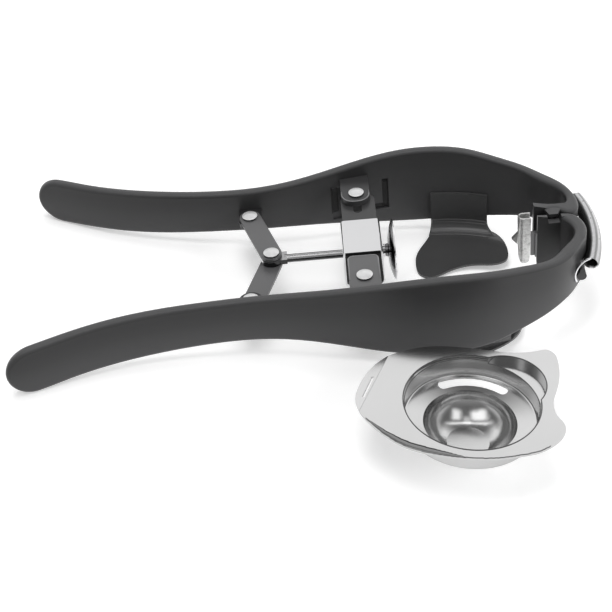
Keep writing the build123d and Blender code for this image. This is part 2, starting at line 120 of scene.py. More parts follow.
# each bracket's tab: first and last x, free end, where its bead ends, corner radius and side,
# which is -1 towards the near handle and 1 towards the far one
TABS = {"near_bracket": (-95.9, -83.0, 15.0, 30.5, 2.4, -1),
        "far_bracket": (-96.1, -83.7, 22.6, 30.5, 5.6, 1)}
# the bead along a tab: in from its edge, its height, its radius in metres, steps of a corner
RIM_INSET = 0.35
RIM_HEIGHT = 9.72
RIM_RADIUS = 0.00026
RIM_STEPS = 12

# the egg paddles: ends of the upright strip, height at which its face is read and how far in
# from its ends, radius of the bend, top of the flat tail, how far the bend widens each way, and
# how far it is lifted off the strip's face
PADDLE_SPAN = (-56.5, -32.0)
PADDLE_LEVEL = -12.0
PADDLE_MARGIN = 0.3
PADDLE_BEND = 5.0
PADDLE_TAIL = -22.55
PADDLE_FLARE = (1.7, 4.0)
PADDLE_LIFT = 0.05

# the painted shadow strips of the recess round a bracket's foot: their ends along the tool and in
# height, and how far they are lifted off the handle's face
RECESS_SHADOW_STRIPS = {"left": ((-100.6, -97.4), (-7.6, 6.0)),
                 "right": ((-77.6, -75.2), (-9.2, 5.4)),
                 "low": ((-83.4, -77.6), (-9.2, -6.4))}
RECESS_LIFT = 0.06

# the presser disc: where its hub's front lies and its height, the steps it is turned in, the
# angle above which its edges are shaded sharp, and its half section, which is pairs of a share of
# its radius and a depth
DISC_FRONT = -78.6
DISC_HEIGHT = -0.2
DISC_STEPS = 96
DISC_EDGE = math.radians(50)
DISC_SHAPE = ((0.0, -1.0), (0.16, -1.0), (0.2, -0.9), (0.22, 0.1), (0.45, 0.35), (0.7, 1.0),
              (0.9, 1.9), (0.985, 2.55), (1.0, 2.8), (0.985, 3.0), (0.86, 2.4), (0.6, 1.4),
              (0.3, 0.9), (0.0, 0.8))
# how far the blade's darker tooth reaches from its tip, in metres
TOOTH_REACH = 0.0024

# the return spring: its middle line, the spacing of its turns in wire diameters, and how
# finely it is wound
SPRING_PATH = ((4.2, 25.2, 0.2), (7.4, 5.0, -0.2), (3.1, -20.0, -0.8))
TURN_PITCH = 1.06
TURN_STEPS = 20
WIRE_SIDES = 7

# the cup: its foot on the floor and its turn; and in its own frame its round hole, its crescent
# pocket as middle and radius, and the rolled part of its edge
CUP_FOOT = Vector(frame["record"]["mounts"][0]["pos_m"])
CUP_YAW = math.radians(-14)
CUP_HOLE = 25.7
CUP_POCKET = (11.3, 12.7, 15.2)
CUP_ROLL = (math.radians(205), math.radians(330))
# heights of its lines, how far the wall's line lies inside the hole, and the lines' radii in
# metres
CUP_LIP_Z, CUP_WALL_Z, CUP_STEP_Z, CUP_ROLL_Z = 21.98, 20.6, 18.98, 22.05
CUP_WALL_INSET = 0.55
CUP_LIP_RADIUS, CUP_STEP_RADIUS, CUP_WALL_RADIUS = 0.00024, 0.0002, 0.00016
# the rolled band: in from the flange's edge, its narrow width and what it gains, and how far
# along, out of 2, the gain is over
ROLL_INSET = 0.25
ROLL_WIDTH, ROLL_GAIN = 0.35, 2.6
ROLL_SWELL = 1.1
# the flange's reach is looked for from outside in, step by step, from FLANGE_ABOVE downwards;
# the flange lies more than FLANGE_Z above the foot, in metres
FLANGE_FROM, FLANGE_STEP, FLANGE_TRIES = 70.0, 0.25, 200
FLANGE_ABOVE, FLANGE_Z = 30.0, 0.02

# the camera: its place, its right and its aim, its sensor, and its focal length as a share of
# the picture's width
CAMERA_PLACE = (-99.09, -483.63, 371.00)
CAMERA_RIGHT = (0.99614, -0.03370, -0.08108)
CAMERA_AIM = (-0.02558, 0.77200, -0.63511)
CAMERA_SENSOR = 36
CAMERA_FOCUS = 1450 / 612
# the lamps, in metres and watts: place, size and power; all look at LAMP_AIM
LAMPS = {"key": ((-0.10, 0.05, 0.95), (0.7, 0.5), 4.6),
         "fill": ((0.85, -0.45, 0.5), (0.6, 0.6), 5.0),
         "front": ((0.55, -0.9, 0.3), (0.8, 0.3), 1.1),
         "rear": ((0.1, 0.8, 0.7), (1.0, 0.4), 2.0)}
LAMP_AIM = Vector((0.02, 0.0, 0.02))
# the floor's half side in metres and its own glow, and the strength of the sky's even light
FLOOR_SIZE = 4.0
FLOOR_GLOW = 0.34
EVEN_LIGHT = 0.37
# soft windows in the sky that bright metal mirrors: to the side, in depth, half width and
# brightness; and their half depth
WINDOWS = ((-0.34, -0.33, 0.34, 1.1), (0.40, -0.36, 0.18, 0.95), (0.08, -0.1, 0.12, 0.5))
WINDOW_DEPTH = 0.28


# ---- materials -----------------------------------------------------------------------------
class Val:
    """A shader socket whose arithmetic adds Math nodes."""

    def __init__(self, shader, socket):
        self.shader = shader
        self.socket = socket

    def _math(self, operation, *values):
        return self.shader.node("ShaderNodeMath", {"operation": operation}, values)

    def __add__(self, other):
        return self._math("ADD", self, other)

    __radd__ = __add__

    def __sub__(self, other):
        return self._math("SUBTRACT", self, other)

    def __rsub__(self, other):
        return self._math("SUBTRACT", other, self)

    def __mul__(self, other):
        return self._math("MULTIPLY", self, other)

    __rmul__ = __mul__

    def __truediv__(self, other):
        return self._math("DIVIDE", self, other)

    def __rtruediv__(self, other):
        return self._math("DIVIDE", other, self)

    def __pow__(self, other):
        return self._math("POWER", self, other)

    def __rpow__(self, other):
        return self._math("POWER", other, self)

    def clamp(self, low=0.0, high=1.0):
        return self._math("MINIMUM", self._math("MAXIMUM", self, low), high)

    def absolute(self):
        return self._math("ABSOLUTE", self)

    def above(self, start, gain):
        """Nothing up to start, then rising to 1 by gain."""
        return ((self - start) * gain).clamp()

    def below(self, end, gain):
        """Nothing from end on, and rising to 1 below it by gain."""
        return ((end - self) * gain).clamp()


class Shader:
    """The nodes of one material, or of the world."""

    def __init__(self, owner):
        owner.use_nodes = True
        self.owner = owner
        self.tree = owner.node_tree
        self.tree.nodes.clear()

    @classmethod
    def material(cls, name):
        return cls(bpy.data.materials.new(name))

    def node(self, kind, settings=None, values=(), out=0):
        """Adds a node: its settings first, then the values or links of its sockets."""
        node = self.tree.nodes.new(kind)
        for key, value in (settings or {}).items():
            if key == "stops":
                self.set_stops(node.color_ramp, value)
            else:
                setattr(node, key, value)
        pairs = values.items() if isinstance(values, dict) else enumerate(values)
        for key, value in pairs:
            self.set(node.inputs[key], value)
        return Val(self, node.outputs[out])

    def set_stops(self, ramp, stops):
        """Gives a colour ramp its stops, each a place with a colour or a plain number."""
        while len(ramp.elements) < len(stops):
            ramp.elements.new(0.5)
        for element, (at, shade) in zip(ramp.elements, stops):
            element.position = at
            element.color = (*((shade,) * 3 if isinstance(shade, float) else shade), 1)

    def set(self, socket, value):
        """Links a socket or sets its value; a colour gets its fourth channel here."""
        if isinstance(value, Val):
            self.tree.links.new(value.socket, socket)
        elif socket.type == "RGBA":
            socket.default_value = (*value, 1)
        else:
            socket.default_value = value

    def point(self):
        """Object coordinates, which are the scene's own: every piece sits at the origin."""
        return self.node("ShaderNodeTexCoord", out="Object")

    def noise(self, scale, detail, rough=0.55, stretch=None):
        """Noise over the piece, in streaks where its coordinates are stretched."""
        point = self.point()
        if stretch:
            point = self.node("ShaderNodeMapping", {}, {"Vector": point, "Scale": stretch})
        return self.node("ShaderNodeTexNoise", {}, {"Vector": point, "Scale": scale,
                                                    "Detail": detail, "Roughness": rough})

    def vector(self, operation, *values):
        """Vector Math, whose measures of a vector come out as numbers."""
        out = int(operation in ("DOT_PRODUCT", "LENGTH"))
        return self.node("ShaderNodeVectorMath", {"operation": operation}, values, out)

    def away_from(self, centre):
        """The way from a fixed point to the surface."""
        return self.vector("SUBTRACT", self.point(), centre)

    def facing(self, axis):
        """How far the surface turns towards a direction, from -1 to 1."""
        return self.vector("DOT_PRODUCT", self.node("ShaderNodeNewGeometry", out="Normal"), axis)

    def ramp(self, value, stops):
        return self.node("ShaderNodeValToRGB", {"stops": stops}, {"Fac": value})

    def blend(self, factor, a, b):
        return self.node("ShaderNodeMix", {"data_type": "RGBA"},
                         {"Factor": factor, 6: a, 7: b}, out=2)

    def bump(self, height, strength, distance):
        return self.node("ShaderNodeBump", {}, {"Height": height, "Strength": strength,
                                                "Distance": distance})

    def rays(self):
        """Whether a ray comes from the camera, and whether it is a glossy one."""
        return [self.node("ShaderNodeLightPath", out=f"Is {kind} Ray")
                for kind in ("Camera", "Glossy")]

    def close(self, surface, output, sockets):
        """Feeds a surface shader to the tree's output."""
        shader = self.node(surface, {}, sockets)
        self.tree.links.new(shader.socket, self.tree.nodes.new(output).inputs["Surface"])
        return self.owner

    def finish(self, **sockets):
        """Closes a material with a Principled surface."""
        return self.close("ShaderNodeBsdfPrincipled", "ShaderNodeOutputMaterial",
                          {key.replace("_", " "): value for key, value in sockets.items()})


def toned(colour, share):
    """A colour made lighter or darker."""
    return tuple(c * share for c in colour)


def tones(colour, bands):
    """The stops of a ramp that runs through shares of one colour."""
    return [(at, toned(colour, share)) for at, share in bands]


def clouded(s, colour):
    """A coating's cloudy tone, and the cloud itself."""
    cloud = s.noise(scale=60.0, detail=3.0)
    return s.blend(cloud, toned(colour, 0.9), toned(colour, 1.12)), cloud


def strip_lines():
    """Where the handle's strip runs: (x, bottom, top) as shares of HANDLE_SPAN and STRIP_SPAN."""
    points = [vert.co - HINGE for vert in NODES["near_handle"].data.vertices]
    lines = []
    for station in range(STATIONS):
        share = station / (STATIONS - 1)
        heights = [point.dot(UP) for point in points
                   if abs(point.dot(ALONG) / HANDLE_SPAN + 1 - share) < STATION_REACH / STATIONS]
        if heights:
            lines.append((share, min(heights) / STRIP_SPAN + 0.5, max(heights) / STRIP_SPAN + 0.5))
    return lines


def handle_plastic(colour, roughness):
    """Satin moulded plastic with fine grain: painted light towards its lower edge, painted shade
    under its upper edge, and a painted highlight on that rounded upper edge.
    """
    s = Shader.material("handle_plastic")
    cloud = s.noise(scale=18.0, detail=3.0)
    grain = s.noise(scale=2600.0, detail=2.0)
    away = s.away_from(HINGE)
    along = s.vector("DOT_PRODUCT", away, ALONG) / HANDLE_SPAN + 1.0
    height = s.vector("DOT_PRODUCT", away, UP) / STRIP_SPAN + 0.5
    lines = strip_lines()
    bottom = s.ramp(along, [(share, low) for share, low, _ in lines])
    top = s.ramp(along, [(share, high) for share, _, high in lines])
    # painted shading across the strip: painted light low down, painted shade high up
    side = s.ramp((height - bottom) / (top - bottom), tones(colour, STRIP_PAINTED_SHADING))
    # painted highlight on faces that turn upwards
    crown_highlight = s.facing(UP).above(0.2, gain=1.6)
    return s.finish(Base_Color=s.blend(crown_highlight, side, toned(colour, 1.6)),
                    Roughness=roughness - 0.05 + cloud * 0.1,
                    Specular_IOR_Level=0.3,
                    Normal=s.bump(grain, strength=0.12, distance=0.00005))


def coated_sheet(name, colour, metal, roughness):
    """Sheet metal under a smooth dark coating."""
    s = Shader.material(name)
    tone, cloud = clouded(s, colour)
    fleck = s.noise(scale=1500.0, detail=2.0)
    return s.finish(Base_Color=tone, Metallic=metal,
                    Roughness=roughness - 0.03 + cloud * 0.08,
                    Normal=s.bump(fleck, strength=0.08, distance=0.00004))


def plate_coating(colour, mouth_shade):
    """Coated slide plate, with painted shade on the side that runs in the sleeve's near mouth."""
    s = Shader.material("plate_coating")
    across = s.vector("DOT_PRODUCT", s.away_from(HINGE), direction(0, -1, 0))
    # painted shade in the sleeve's near mouth
    near = across.above(0.0, gain=100)
    tone, cloud = clouded(s, colour)
    return s.finish(Base_Color=s.blend(near, tone, mouth_shade), Metallic=0.35,
                    Roughness=0.27 + near * 0.35 + cloud * 0.08)


def rivet_steel(colour):
    """Tumbled bright rivet heads, softly mottled, with painted shade darkening them where they
    don't face up, on their side walls.
    """
    s = Shader.material("rivet_steel")
    mottle = s.noise(scale=700.0, detail=3.0, rough=0.6)
    # painted shade: faces that don't turn up, the heads' side walls, are darkened
    top = s.facing(UP).above(0.35, gain=5.0)
    side = s.blend(mottle, toned(colour, 0.8), colour)
    return s.finish(Base_Color=s.blend(top, toned(colour, 0.05), side), Metallic=0.45,
                    Roughness=0.34 + mottle * 0.14,
                    Normal=s.bump(mottle, strength=0.25, distance=0.00008))


def disc_steel(colour, centre, axis, radius):
    """Polished disc, its face darkened as a painted reflection of the dark handles, and bright
    with the metal's own colour at its outer edge.
    """
    s = Shader.material("disc_steel")
    spread = s.vector("LENGTH", s.vector("CROSS_PRODUCT", s.away_from(centre), axis))
    rings = s.noise(scale=300.0, detail=3.0, stretch=(40, 1, 1))
    rim = (spread / radius).above(0.93, gain=16.0)
    # painted reflection: the face is darkened, the outer edge keeps the metal's colour
    return s.finish(Base_Color=s.blend(rim, toned(colour, 0.3), colour), Metallic=1.0,
                    Roughness=0.1 + rings * 0.1)


def polished(name, colour, roughness, streak, wall=1.0):
    """Bright metal with fine polishing streaks and slight waviness; its upright walls may take
    painted shade.
    """
    s = Shader.material(name)
    lines = s.noise(scale=240.0, detail=3.0, stretch=(1, 14, 14))
    wave = s.noise(scale=45.0, detail=2.0)
    tone = s.blend(wave, toned(colour, 0.95), colour)
    if wall < 1.0:
        # painted shade: upright faces are darkened by the wall share
        upright = s.facing((0, 0, 1)).absolute().below(0.65, gain=3.3)
        tone = s.blend(upright, tone, toned(colour, wall))
    return s.finish(Base_Color=tone, Metallic=1.0,
                    Roughness=roughness + lines * streak,
                    Normal=s.bump(wave, strength=0.05, distance=0.0002))


def banded_steel(name, colour, facing, bands, metal, roughness):
    """Bright rod with painted reflection bands round it, running from away to facing a direction.
    """
    s = Shader.material(name)
    tone = s.ramp(s.facing(facing) * 0.5 + 0.5, tones(colour, bands))
    wave = s.noise(scale=400.0, detail=2.0)
    return s.finish(Base_Color=tone, Metallic=metal, Roughness=roughness + wave * 0.1)


def coil_steel(colour, centre, radius, axis, coil):
    """Bright wound wire with painted reflection bands: painted shade towards the handles, two
    painted highlight bands on the outer side.
    """
    s = Shader.material("coil_steel")
    away = s.away_from(centre)
    level, reach = s.vector("DOT_PRODUCT", away, axis), s.vector("LENGTH", away)
    outward = ((reach * reach - level * level) ** 0.5 - radius) / coil
    tone = s.ramp(outward * 0.5 + 0.5, tones(colour, COIL_PAINTED_BANDS))
    wave = s.noise(scale=400.0, detail=2.0)
    return s.finish(Base_Color=tone, Metallic=0.55, Roughness=0.24 + wave * 0.1)


def galvanised(colour, tooth):
    """Zinc-coated sheet with a mottled, slightly rough face, darker at its tooth."""
    s = Shader.material("galvanised_steel")
    mottle = s.noise(scale=520.0, detail=5.0, rough=0.7)
    light = tuple(min(1.0, c) for c in toned(colour, 1.25))
    tone = s.ramp(mottle, [(0.32, toned(colour, 0.62)), (0.5, colour), (0.7, light)])
    tooth_zone = s.vector("DOT_PRODUCT", s.point(), (1, 0, 0)).below(tooth, gain=4000.0)
    return s.finish(Base_Color=s.blend(tooth_zone, tone, toned(colour, 0.35)), Metallic=0.85,
                    Roughness=0.3 + mottle * 0.25,
                    Normal=s.bump(mottle, strength=0.35, distance=0.0001))


# ---- settings ------------------------------------------------------------------------------
def colour_setting(name, text, value):
    return bpy.props.FloatVectorProperty(name=name, description=text, default=value,
                                         subtype="COLOR", size=3, min=0, max=1)


def length_setting(name, text, value):
    return bpy.props.FloatProperty(name=name, description=text, default=value,
                                   subtype="DISTANCE", unit="LENGTH", min=0)


class OpenerColours(bpy.types.PropertyGroup):
    plastic: colour_setting("Plastic", "Colour of the moulded handles", (0.045, 0.045, 0.046))
    plastic_rough: bpy.props.FloatProperty(name="Plastic roughness", default=0.36, min=0, max=1,
                                           description="Roughness of the moulded handles")
    coating: colour_setting("Coating", "Colour of the links and tabs", (0.135, 0.135, 0.137))
    plate: colour_setting("Slide plate", "Colour of the slide plate", (0.062, 0.062, 0.063))
    # painted shade: the far bracket's coating, darker than the near one's
    far_tab: colour_setting("Far tab", "Colour of the far bracket", (0.058, 0.058, 0.059))
    # painted shade: the lugs are darkened to stand for the shade round them
    lug: colour_setting("Lugs", "Colour of the link lugs", (0.03, 0.03, 0.031))
    # painted shade for the recess strips, the slots, the slide plate's mouth and the coil's inside
    recess: colour_setting("Recess", "Colour of the recess round each bracket's foot",
                           (0.012, 0.012, 0.012))
    paddle: colour_setting("Paddles", "Colour of the egg paddles", (0.095, 0.095, 0.096))
    chrome: colour_setting("Chrome", "Colour of the polished rod, sleeve and disc",
                           (0.82, 0.82, 0.83))
    rivet: colour_setting("Rivets", "Colour of the rivet heads", (0.86, 0.86, 0.86))
    zinc: colour_setting("Zinc", "Colour of the galvanised blade", (0.74, 0.74, 0.73))
    cup: colour_setting("Cup", "Colour of the stainless cup", (0.84, 0.84, 0.84))
    backdrop: colour_setting("Backdrop", "Colour of the floor", (0.86, 0.86, 0.86))


class OpenerSizes(bpy.types.PropertyGroup):
    coil: length_setting("Coil", "Outer radius of the return spring's coil", 0.0033)
    wire: length_setting("Wire", "Diameter of the return spring's wire", 0.00082)


# ---- pieces --------------------------------------------------------------------------------
def added(name, data):
    """A new object of the scene."""
    obj = bpy.data.objects.new(name, data)
    bpy.context.scene.collection.objects.link(obj)
    return obj


def finished(bm, name, material):
    """Closes a bmesh into an object of the scene with one finish."""
    bmesh.ops.remove_doubles(bm, verts=bm.verts, dist=1e-7)
    bmesh.ops.recalc_face_normals(bm, faces=bm.faces)
    mesh = bpy.data.meshes.new(name)
    bm.to_mesh(mesh)
    bm.free()
    mesh.shade_smooth()
    mesh.materials.append(material)
    return added(name, mesh)


def give(material, *names):
    """Puts one finish on CAD nodes."""
    for name in names:
        slots = NODES[name].data.materials
        slots.clear()
        slots.append(material)


def eased(name, piece, material, width, second=None, chosen=None):
    """Copies a CAD node with its sharp edges eased, and lets the copy stand for the node.

    A second finish goes to the chosen faces.
    """
    bm = bmesh.new()
    bm.from_mesh(NODES[name].data)
    bmesh.ops.remove_doubles(bm, verts=bm.verts, dist=1e-6)
    bmesh.ops.dissolve_limit(bm, angle_limit=FLAT_EDGE, verts=bm.verts, edges=bm.edges)
    edges = [e for e in bm.edges if e.is_manifold and e.calc_face_angle(0) > SHARP_EDGE]
    bmesh.ops.bevel(bm, geom=edges, offset=width, offset_type="OFFSET", segments=EDGE_STEPS,
                    profile=0.5, affect="EDGES", clamp_overlap=True, material=-1)
    if second:
        bm.normal_update()
        for face in bm.faces:
            face.material_index = int(chosen(face))
    obj = finished(bm, piece, material)
    if second:
        obj.data.materials.append(second)
    obj.data.set_sharp_from_angle(angle=SHADED_EDGE)
    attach(obj, BODY_OF[name])
    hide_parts(name)
    return obj


def bead(name, points, radius, material, rider):
    """Round bead laid along points, riding on a CAD node."""
    curve = bpy.data.curves.new(name, "CURVE")
    curve.dimensions = "3D"
    curve.bevel_depth = radius
    curve.bevel_resolution = 2
    curve.use_fill_caps = True
    line = curve.splines.new("POLY")
    line.points.add(len(points) - 1)
    for point, at in zip(line.points, points):
        point.co = (*at, 1)
    shape = added(name, curve)
    mesh = bpy.data.meshes.new_from_object(shape.evaluated_get(
        bpy.context.evaluated_depsgraph_get()))
    bpy.data.objects.remove(shape)
    bm = bmesh.new()
    bm.from_mesh(mesh)
    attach(finished(bm, name, material), BODY_OF[rider])


def laid_sheet(name, segments, where, thickness, material, rider):
    """Thin sheet riding on a CAD node; where() lays out its grid, from -1 to 1 each way."""
    bm = bmesh.new()
    bmesh.ops.create_grid(bm, x_segments=segments[0], y_segments=segments[1], size=1.0)
    for vert in bm.verts:
        vert.co = where(vert.co.x, vert.co.y)
    bmesh.ops.recalc_face_normals(bm, faces=bm.faces)
    bmesh.ops.solidify(bm, geom=bm.faces, thickness=thickness)
    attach(finished(bm, name, material), BODY_OF[rider])


def face_point(node, x, z, side, lift):
    """The point of a CAD node's inner face seen from the middle plane, lifted off it."""
    start, aim = place(x, 0, z), direction(0, side, 0)
    hit, where, _, _ = NODES[node].ray_cast(start, aim)
    if not hit:
        raise RuntimeError(f"{node} has no face at {x}, {z}")
    return where - aim * lift / 1000


def between(ends, share):
    """From one end to the other as share goes from -1 to 1."""
    return (ends[0] + ends[1]) / 2 + share * (ends[1] - ends[0]) / 2


def below_plate(face):
    """Whether a face lies below the slide plate, on the foot of a bracket."""
    return (face.calc_center_median() - place(0, 0, FOOT_TOP)).dot(UP) < 0


def in_slot(face):
    """Whether a face is a side wall of the slide plate's slots."""
    if abs(face.normal.dot(UP)) > 0.9:
        return False
    return abs((face.calc_center_median() - place(SLOT_X, 0, 0)).dot(ALONG)) < SLOT_REACH


def tab_rim(tab):
    """Points along a bracket's tab: down one side, round both corners and back."""
    first, last, end, root, corner, side = tab
    reach = corner - RIM_INSET
    outline = [(first + RIM_INSET, root), (first + RIM_INSET, end + corner)]
    for middle, start in ((first + corner, 180), (last - corner, 270)):
        for step in range(RIM_STEPS + 1):
            angle = math.radians(start + 90 * step / RIM_STEPS)
            outline.append((middle + reach * math.cos(angle),
                            end + corner + reach * math.sin(angle)))
    outline.append((last - RIM_INSET, root))
    return [place(x, side * y, RIM_HEIGHT) for x, y in outline]


def paddle_round(node, side, across, down):
    """A point of the round between a paddle's upright strip and its flat tail."""
    low, high = PADDLE_SPAN
    angle = (down + 1) * math.pi / 4
    reach = 1 - math.cos(angle)
    x = between((low - PADDLE_FLARE[0] * reach, high + PADDLE_FLARE[1] * reach), across)
    held = min(max(x, low + PADDLE_MARGIN), high - PADDLE_MARGIN)
    face = face_point(node, held, PADDLE_LEVEL, side, PADDLE_LIFT)
    drop = PADDLE_TAIL - PADDLE_LEVEL + PADDLE_BEND * (1 - math.sin(angle))
    return face + direction(x - held, -side * PADDLE_BEND * reach, drop) / 1000


def arc_frame(first, middle, last):
    """Centre, radius, first spoke, axis and sweep of the arc through three points."""
    a, b = middle - first, last - first
    axis = a.cross(b)
    centre = first + (axis.cross(a) * b.length_squared + b.cross(axis) * a.length_squared) / (
        2 * axis.length_squared)
    spoke = (first - centre).normalized()
    axis.normalize()
    end = (last - centre).normalized()
    sweep = math.atan2(spoke.cross(end).dot(axis), spoke.dot(end)) % math.tau
    return centre, (first - centre).length, spoke, axis, sweep


def cup_point(ring, angle, height):
    """A point of a ring in the cup's own frame; the ring is its middle and radius."""
    x, y, radius = ring
    flat = Vector((x + radius * math.cos(angle), y + radius * math.sin(angle), height))
    return CUP_FOOT + Matrix.Rotation(CUP_YAW, 3, "Z") @ flat / 1000


def cup_arc(ring, start, end, height, steps=90):
    """Points along an arc of a ring in the cup's own frame."""
    return [cup_point(ring, start + (end - start) * step / steps, height)
            for step in range(steps + 1)]


def cup_edge(angle):
    """How far the cup's flange reaches at an angle of the cup's own frame, in millimetres."""
    for step in range(FLANGE_TRIES):
        reach = FLANGE_FROM - step * FLANGE_STEP
        above = cup_point((0, 0, reach), angle, FLANGE_ABOVE)
        hit, where, _, _ = NODES["separator_cup"].ray_cast(above, Vector((0, 0, -1)))
        if hit and where.z > CUP_FOOT.z + FLANGE_Z:
            return reach
    raise RuntimeError(f"the cup has no flange at {angle}")


def rolled_edge(along, across):
    """A point of the cup's rolled band: widest at a quarter of its way, narrow from the middle."""
    angle = CUP_ROLL[0] + (CUP_ROLL[1] - CUP_ROLL[0]) * (along + 1) / 2
    width = ROLL_WIDTH + ROLL_GAIN * math.sin(math.pi * min(1.0, (along + 1) / ROLL_SWELL))
    reach = cup_edge(angle) - ROLL_INSET - width * (1 - across) / 2
    return cup_point((0, 0, reach), angle, CUP_ROLL_Z)


# ---- stage ---------------------------------------------------------------------------------
def studio_camera(scene):
    """Camera before the tool and above it, looking down at it."""
    camera = bpy.data.cameras.new("camera")
    camera.lens = CAMERA_FOCUS * CAMERA_SENSOR
    camera.sensor_width = CAMERA_SENSOR
    camera.clip_start = 0.01
    camera.clip_end = 20
    right = direction(*CAMERA_RIGHT).normalized()
    back = -direction(*CAMERA_AIM).normalized()
    turn = Matrix((right, back.cross(right).normalized(), back)).transposed()
    scene.camera = added("camera", camera)
    scene.camera.matrix_world = Matrix.Translation(place(*CAMERA_PLACE)) @ turn.to_4x4()


def studio_floor(colour):
    """Pale floor that keeps the object's shadow."""
    mesh = bpy.data.meshes.new("floor")
    bm = bmesh.new()
    bmesh.ops.create_grid(bm, x_segments=1, y_segments=1, size=FLOOR_SIZE)
    bm.to_mesh(mesh)
    bm.free()
    s = Shader.material("floor")
    seen, glossy = s.rays()
    mesh.materials.append(s.finish(
        Base_Color=colour, Roughness=0.9, Specular_IOR_Level=0.0,
        Emission_Color=(1.0, 1.0, 1.0), Emission_Strength=(seen + glossy) * FLOOR_GLOW))
    added("floor", mesh)


def studio_sky(scene):
    """Even soft light, with a bright rear wall and a dim ceiling and front for bright metal."""
    scene.world = bpy.data.worlds.new("studio")
    s = Shader(scene.world)
    sky = s.node("ShaderNodeTexCoord", out="Generated")
    side, depth, height = (s.node("ShaderNodeSeparateXYZ", {}, (sky,), out=i) for i in range(3))
    # the rear wall, fading upwards and to its sides
    wall = (depth * 3.0 - 0.2).clamp() * (4.9 - height * 5.5).clamp() * 0.76
    wall = wall * (3.0 - side.absolute() * 3.2).clamp()
    # a narrow tube overhead, a low band at either side and a faint glow in front
    tube = (1.0 - (depth - 0.05).absolute() / 0.09).clamp() * (height * 4.0 - 2.6).clamp() * 1.4
    band = side.absolute().above(0.55, gain=4.0) * (2.4 - height * 4.0).clamp() * 0.7
    front = (depth * -3.0 - 1.7).clamp() * (1.6 - height * 2.0).clamp() * 0.2
    level = 0.12 + wall + band + tube + front
    overhead = (height * 4.0 - 1.6).clamp()
    for across, along, wide, bright in WINDOWS:
        window = (1.0 - (side - across).absolute() / wide).clamp(0.0, 0.5) * 2.0
        window = window * (1.0 - (depth - along).absolute() / WINDOW_DEPTH).clamp(0.0, 0.5) * 2.0
        level = level + window * overhead * bright
    seen, glossy = s.rays()
    strength = (1 - glossy) * EVEN_LIGHT + glossy * level + seen * (1 - EVEN_LIGHT)
    s.close("ShaderNodeBackground", "ShaderNodeOutputWorld",
            {"Color": (1, 1, 1), "Strength": strength})


def studio_lamps():
    """Four soft area lamps, which bright metal doesn't mirror."""
    for name, (at, size, power) in LAMPS.items():
        lamp = bpy.data.lights.new(name, "AREA")
        lamp.shape = "RECTANGLE"
        lamp.size, lamp.size_y = size
        lamp.energy = power
        obj = added(name, lamp)
        obj.location = at
        obj.visible_glossy = False
        obj.rotation_euler = (LAMP_AIM - Vector(at)).to_track_quat("-Z", "Y").to_euler()


class OPENER_OT_stage(bpy.types.Operator):
    """Sets the camera, the floor, the backdrop and the soft studio light"""

    bl_idname = "opener.stage"
    bl_label = "Stage"

    def execute(self, context):
        scene = context.scene
        scene.view_settings.view_transform = "Standard"
        studio_camera(scene)
        studio_floor(scene.opener_colours.backdrop)
        studio_sky(scene)
        studio_lamps()
        return {"FINISHED"}


# ---- the opener and its cup ----------------------------------------------------------------
class OPENER_OT_handles(bpy.types.Operator):
    """Gives both handles and their spring lugs the moulded plastic"""

    bl_idname = "opener.handles"
    bl_label = "Handles"

    def execute(self, context):
        colours = context.scene.opener_colours
        give(handle_plastic(colours.plastic, colours.plastic_rough),
             "near_handle", "far_handle", "near_spring_lug", "far_spring_lug")
        return {"FINISHED"}


class OPENER_OT_linkage(bpy.types.Operator):
    """Finishes the links, lugs, brackets and slide plate as coated sheet with eased edges, with
    painted shade and painted highlights
    """

    bl_idname = "opener.linkage"
    bl_label = "Linkage"

    def execute(self, context):
        colours = context.scene.opener_colours
        coating = coated_sheet("coated_sheet", colours.coating, metal=0.35, roughness=0.32)
        plate = plate_coating(colours.plate, colours.recess)
        # painted shade: the link lugs and the near bracket's foot take a dark coating that stands
        # for the shade round them
        dark = coated_sheet("lug_painted_shade", colours.lug, metal=0.2, roughness=0.35)
        foot = coated_sheet("foot_coating", toned(colours.plate, 3), metal=0.6, roughness=0.3)
        # painted shade: the far bracket takes its own darker copy of the coating
        far = coated_sheet("far_tab_painted_shade", colours.far_tab, metal=0.35, roughness=0.32)
        # painted shade: the slots' side walls and the far bracket's foot take a near-black sheet
        slot_shade = coated_sheet("slot_painted_shade", colours.recess, metal=0.0, roughness=0.8)
        # painted highlight: the tabs' beads take the coating lightened
        rim = coated_sheet("tab_rim", toned(colours.coating, 2.2), metal=0.5, roughness=0.3)
        give(foot, "blade_foot")
        give(dark, "near_link_lug", "far_link_lug")
        eased("near_link", "near_link_bar", coating, LINK_EDGE)
        eased("far_link", "far_link_bar", coating, LINK_EDGE)
        # the near bracket's foot below the plate takes the lugs' painted shade
        eased("near_bracket", "near_tab", coating, LINK_EDGE, second=dark, chosen=below_plate)
        eased("far_bracket", "far_tab", far, LINK_EDGE, second=slot_shade, chosen=below_plate)
        eased("slide_plate", "slide_bar", plate, PLATE_EDGE, second=slot_shade, chosen=in_slot)
        for node, tab in TABS.items():
            bead(node + "_rim", tab_rim(tab), RIM_RADIUS, rim, node)
        return {"FINISHED"}


